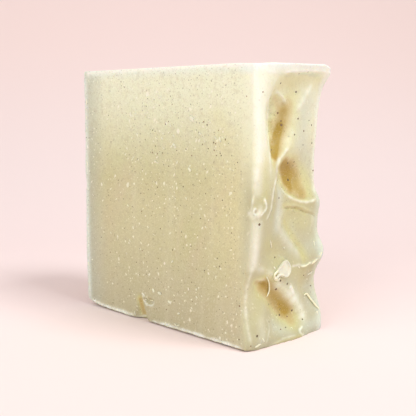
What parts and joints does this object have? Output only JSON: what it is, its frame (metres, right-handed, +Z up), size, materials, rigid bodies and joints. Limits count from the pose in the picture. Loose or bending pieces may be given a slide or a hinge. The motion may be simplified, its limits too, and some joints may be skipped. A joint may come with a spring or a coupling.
{
  "type": "bar of soap",
  "caption": "Thick hand-cut slice of speckled loaf soap, flat on its cut and moulded sides, with a deeply folded poured side and a small chip in its lower edge.",
  "frame": {"origin": "middle of the base, on the flat face that the bar stands on", "axes": "+Z up as the bar stands, front wire cut faces -Y, folded poured side faces +X, mould-floor side faces -X"},
  "size_m": [0.0686, 0.0286, 0.0705],
  "materials": {
    "soap": "waxy cold-process soap, cream with fine brown specks and pale flecks, soft sheen"
  },
  "bodies": {
    "root": {"soap_bar": "soap"}
  },
  "joints": []
}
